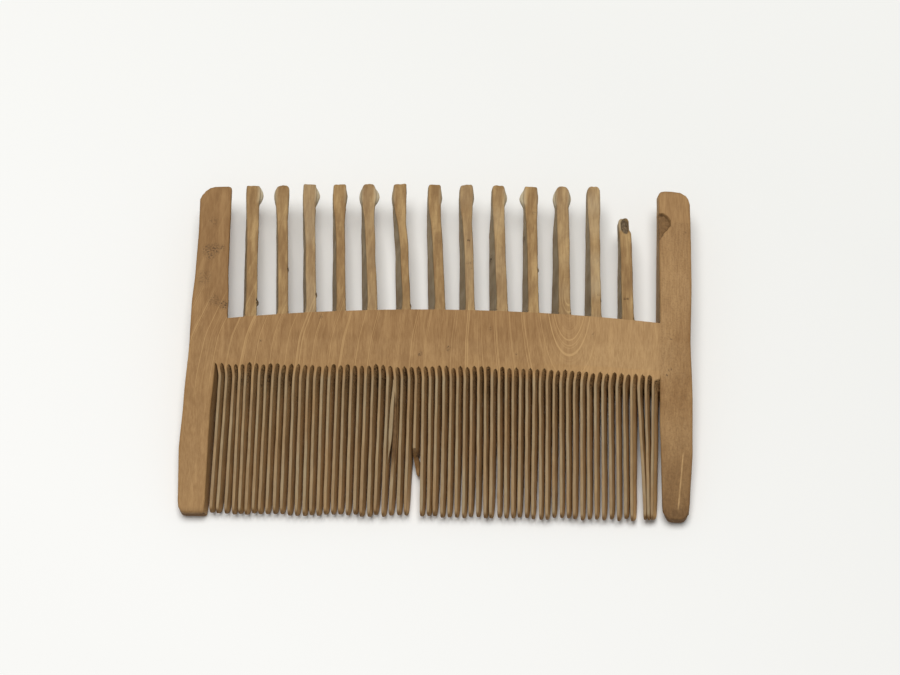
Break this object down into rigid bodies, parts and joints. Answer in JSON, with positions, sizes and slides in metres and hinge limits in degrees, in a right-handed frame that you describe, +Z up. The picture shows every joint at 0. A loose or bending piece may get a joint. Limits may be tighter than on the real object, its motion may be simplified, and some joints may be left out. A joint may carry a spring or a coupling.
{
  "type": "double-sided wooden comb",
  "caption": "Flat double-sided wooden comb, coarse teeth along one long side and fine teeth along the other, thick at the spine and thin at the tips, with a wide guard tooth at each corner.",
  "frame": {"origin": "centre of the bounding box in plan, at the plane the comb rests on", "axes": "+X along the spine (the comb's longest side), +Y from the fine teeth towards the coarse teeth, +Z up out of the front face"},
  "size_m": [0.0902, 0.0605, 0.008],
  "materials": {
    "planed_wood": "hand-planed and worn smooth, dull wax-like sheen, pale growth lines",
    "coarse_tooth_wood": "sawn flanks, dull, slightly darker than the planed faces",
    "fine_tooth_wood": "sawn flanks dark with grime, front edges rubbed pale"
  },
  "bodies": {
    "root": {"spine": "planed_wood", "guard_left_coarse": "planed_wood", "guard_right_coarse": "planed_wood", "guard_left_fine": "planed_wood", "guard_right_fine": "planed_wood", "coarse_tooth_01": "coarse_tooth_wood", "coarse_tooth_02": "coarse_tooth_wood", "coarse_tooth_03": "coarse_tooth_wood", "coarse_tooth_04": "coarse_tooth_wood", "coarse_tooth_05": "coarse_tooth_wood", "coarse_tooth_06": "coarse_tooth_wood", "coarse_tooth_07": "coarse_tooth_wood", "coarse_tooth_08": "coarse_tooth_wood", "coarse_tooth_09": "coarse_tooth_wood", "coarse_tooth_10": "coarse_tooth_wood", "coarse_tooth_11": "coarse_tooth_wood", "coarse_tooth_12": "coarse_tooth_wood", "coarse_tooth_13": "coarse_tooth_wood", "fine_teeth_01": "fine_tooth_wood", "fine_teeth_02": "fine_tooth_wood", "fine_teeth_03": "fine_tooth_wood", "fine_teeth_04": "fine_tooth_wood", "fine_teeth_05": "fine_tooth_wood", "fine_teeth_06": "fine_tooth_wood", "fine_teeth_07": "fine_tooth_wood", "fine_teeth_08": "fine_tooth_wood", "fine_teeth_09": "fine_tooth_wood", "fine_teeth_10": "fine_tooth_wood", "fine_teeth_11": "fine_tooth_wood", "fine_teeth_12": "fine_tooth_wood", "fine_teeth_13": "fine_tooth_wood", "fine_teeth_14": "fine_tooth_wood", "fine_teeth_15": "fine_tooth_wood", "fine_teeth_16": "fine_tooth_wood", "fine_teeth_17": "fine_tooth_wood", "fine_teeth_18": "fine_tooth_wood", "fine_teeth_19": "fine_tooth_wood", "fine_teeth_20": "fine_tooth_wood", "fine_teeth_21": "fine_tooth_wood"}
  },
  "joints": []
}
